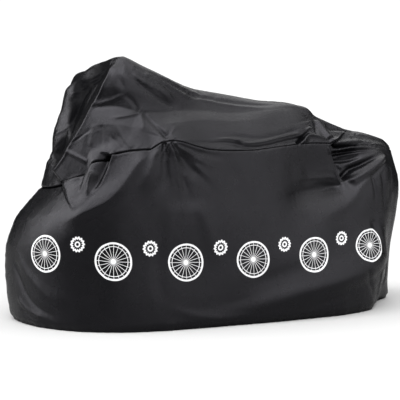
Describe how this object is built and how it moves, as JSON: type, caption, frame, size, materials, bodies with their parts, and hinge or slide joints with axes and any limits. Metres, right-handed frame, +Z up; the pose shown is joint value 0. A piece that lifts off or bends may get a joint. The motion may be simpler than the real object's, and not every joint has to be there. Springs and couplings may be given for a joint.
{
  "type": "fitted bicycle cover",
  "caption": "Fitted cover of thin black coated cloth, draped as over a bicycle: sewn side panels to the floor and a hood over handlebar and saddle, hollow inside.",
  "frame": {"origin": "centre of the bounding box's bottom face, on the floor under the middle of the cover", "axes": "+X from the bicycle's front wheel to its rear wheel, +Y to the bicycle's right side, +Z up"},
  "size_m": [1.8019, 0.8279, 1.0721],
  "materials": {
    "side_cloth": "satin coated weave with a white print",
    "hood_cloth": "satin coated weave"
  },
  "bodies": {
    "root": {"side_panel_near": "side_cloth", "side_panel_far": "side_cloth", "hood_panel_near": "hood_cloth", "hood_panel_far": "hood_cloth"}
  },
  "joints": []
}
